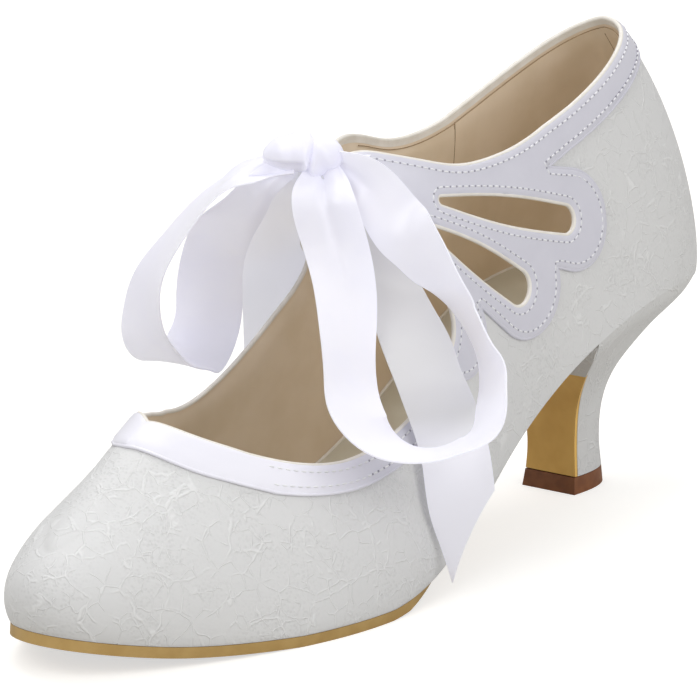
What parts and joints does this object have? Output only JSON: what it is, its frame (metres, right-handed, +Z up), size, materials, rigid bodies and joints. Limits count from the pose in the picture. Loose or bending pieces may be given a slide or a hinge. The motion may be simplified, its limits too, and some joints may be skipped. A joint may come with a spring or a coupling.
{
  "type": "lace wedding pump",
  "caption": "Almond-toe lace wedding pump with scalloped satin trim, drop-shaped cut-outs, a ribbon bow over the instep and a curved covered heel.",
  "frame": {"origin": "on the floor, under the middle of the shoe without its free ribbon", "axes": "+Z up, +Y towards the heel, +X towards the wearer's left"},
  "size_m": [0.1054, 0.2424, 0.1192],
  "materials": {
    "lace": "white lace over satin",
    "satin": "white satin",
    "heel_cover": "white satin and lace over the heel block",
    "sole": "smooth tan sole leather",
    "top_lift": "dark brown, matte",
    "sock": "tan lining leather",
    "ribbon": "white satin ribbon"
  },
  "bodies": {
    "root": {"upper": "lace", "satin_trim": "satin", "heel": "heel_cover", "outsole": "sole", "top_lift": "top_lift", "insole": "sock", "ribbon_bar": "ribbon", "bow_knot": "ribbon", "bow_loop_near": "ribbon", "bow_loop_far": "ribbon", "ribbon_tail_near": "ribbon", "ribbon_tail_far": "ribbon"}
  },
  "joints": []
}
